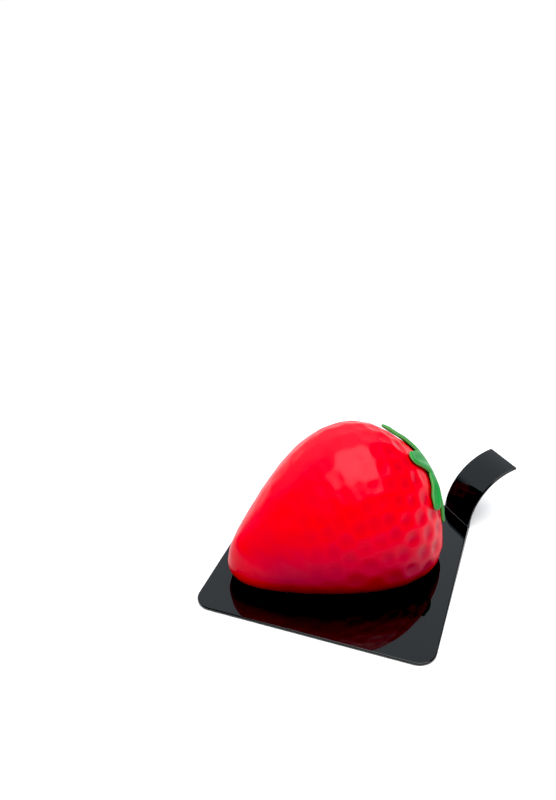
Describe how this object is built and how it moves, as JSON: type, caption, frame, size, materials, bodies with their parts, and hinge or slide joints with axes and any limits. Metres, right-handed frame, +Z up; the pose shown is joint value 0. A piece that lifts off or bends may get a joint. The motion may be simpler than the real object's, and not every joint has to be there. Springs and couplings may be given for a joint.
{
  "type": "strawberry-shaped mousse cake on a tabbed board",
  "caption": "Single-portion mousse cake shaped as a strawberry on its side, with a filled inside and a leaf star, on a square board with a curled pull tab.",
  "frame": {"origin": "centre of the board's underside", "axes": "+Z up; +X along the board's diagonal, from the corner under the cake's tip to the corner with the tab; +Y across"},
  "size_m": [0.1228, 0.1082, 0.0482],
  "materials": {
    "board_plastic": "mirror-glossy black",
    "red_coating": "satin-gloss, shallow dimples",
    "mousse": "matte, finely aerated",
    "jelly": "wet gloss",
    "berry": "wet",
    "crumb": "coarse and dry",
    "sponge": "open-pored",
    "green_paste": "satin, rolled paste"
  },
  "bodies": {
    "root": {"board": "board_plastic", "coating": "red_coating", "mousse": "mousse", "mousse_floor": "mousse", "jelly_insert": "jelly", "berry_piece": "berry", "crumb_layer": "crumb", "sponge_base": "sponge", "calyx": "green_paste"}
  },
  "joints": []
}
